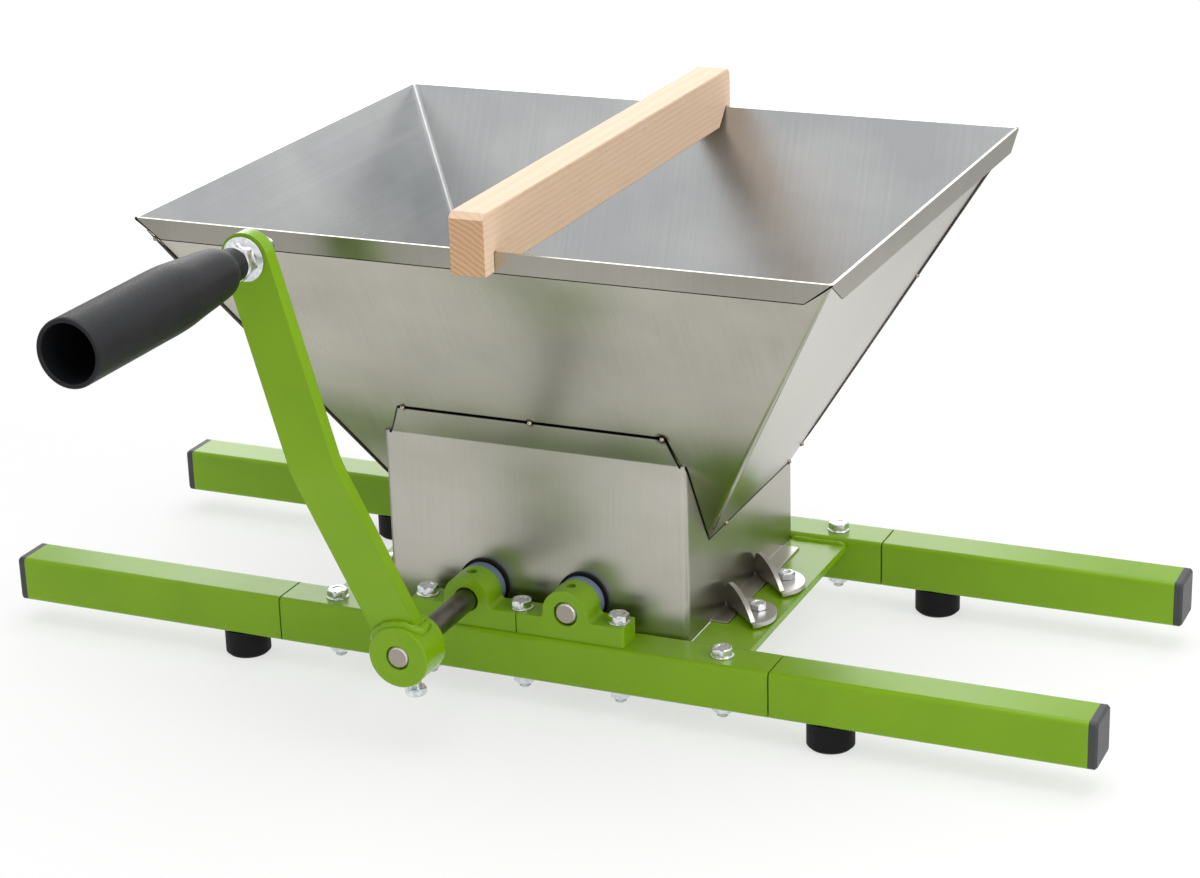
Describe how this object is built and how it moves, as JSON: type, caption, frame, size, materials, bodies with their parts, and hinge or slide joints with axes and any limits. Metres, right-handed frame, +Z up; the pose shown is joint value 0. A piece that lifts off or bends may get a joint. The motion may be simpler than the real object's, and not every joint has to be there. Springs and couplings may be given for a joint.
{
  "type": "hand-cranked apple scratter",
  "caption": "Hand-cranked fruit mill: square sheet funnel on a chute with toothed rollers, on a green tube frame with plug-in arms and a side crank.",
  "frame": {"origin": "On the floor, under the middle of the outer box of the machine with its crank at rest.", "axes": "+X along the frame rails to the right, seen from the crank's side; +Y from the crank to the back; +Z up."},
  "size_m": [0.609, 0.5034, 0.28],
  "materials": {
    "green_powder_coat": "smooth semi-gloss lime green powder coat",
    "stainless_sheet": "rolled stainless sheet, fine straight grain",
    "stainless_blade": "stainless, sawn teeth",
    "black_plastic": "matt black moulded plastic",
    "black_rubber": "matt black rubber",
    "grip_plastic": "satin black moulded plastic",
    "bush_plastic": "blue-grey moulded plastic",
    "beech": "planed pale wood, bare",
    "bare_steel": "oiled bare steel",
    "zinc_plated_steel": "bright zinc plating"
  },
  "bodies": {
    "frame": {"arm_bolts": "zinc_plated_steel", "arm_nuts": "zinc_plated_steel", "block_bolts": "zinc_plated_steel", "block_nuts": "zinc_plated_steel", "clip_bolts": "zinc_plated_steel", "clip_nuts": "zinc_plated_steel", "foot_screws": "zinc_plated_steel", "front_chute_sheet": "stainless_sheet", "front_hopper_sheet": "stainless_sheet", "front_left_arm": "green_powder_coat", "front_left_block": "green_powder_coat", "front_left_bush": "bush_plastic", "front_left_end_cap": "black_plastic", "front_left_foot": "black_rubber", "front_rail": "green_powder_coat", "front_right_arm": "green_powder_coat", "front_right_block": "green_powder_coat", "front_right_bush": "bush_plastic", "front_right_end_cap": "black_plastic", "front_right_foot": "black_rubber", "left_clips": "stainless_sheet", "left_cross_plate": "green_powder_coat", "left_guide_plate": "stainless_sheet", "rear_chute_sheet": "stainless_sheet", "rear_hopper_sheet": "stainless_sheet", "rear_left_arm": "green_powder_coat", "rear_left_block": "green_powder_coat", "rear_left_bush": "bush_plastic", "rear_left_end_cap": "black_plastic", "rear_left_foot": "black_rubber", "rear_rail": "green_powder_coat", "rear_right_arm": "green_powder_coat", "rear_right_block": "green_powder_coat", "rear_right_bush": "bush_plastic", "rear_right_end_cap": "black_plastic", "rear_right_foot": "black_rubber", "right_clips": "stainless_sheet", "right_cross_plate": "green_powder_coat", "right_guide_plate": "stainless_sheet", "shaft_seals": "black_rubber"},
    "drive": {"drive_shaft": "bare_steel", "drive_roller_core": "bare_steel", "drive_roller_blades": "stainless_blade", "drive_gear": "bare_steel", "crank_hub": "green_powder_coat", "crank_arm": "green_powder_coat", "crank_set_bolt": "zinc_plated_steel", "handle_bolt": "zinc_plated_steel", "handle_nut": "zinc_plated_steel", "handle_back_nut": "zinc_plated_steel"},
    "idler": {"idler_shaft": "bare_steel", "idler_roller_core": "bare_steel", "idler_roller_blades": "stainless_blade", "idler_gear": "bare_steel"},
    "grip": {"handle_grip": "grip_plastic"},
    "bar": {"wooden_bar": "beech"}
  },
  "joints": [
    {"name": "crank_turn", "type": "hinge", "parent": "frame", "child": "drive", "pos_m": [-0.028, -0.0828, 0.0544], "axis": [0, 1, 0], "continuous": true},
    {"name": "idler_turn", "type": "hinge", "parent": "frame", "child": "idler", "pos_m": [0.028, -0.0058, 0.0544], "axis": [0, 1, 0], "continuous": true},
    {"name": "grip_turn", "type": "hinge", "parent": "drive", "child": "grip", "pos_m": [-0.08589, -0.1128, 0.2598], "axis": [0, 1, 0], "continuous": true},
    {"name": "bar_lift", "type": "slide", "parent": "frame", "child": "bar", "axis": [0, 0, 1], "range_m": [0, 0.06]}
  ],
  "couplings": [
    {"joint": "idler_turn", "follows": "crank_turn", "ratio": -1}
  ]
}
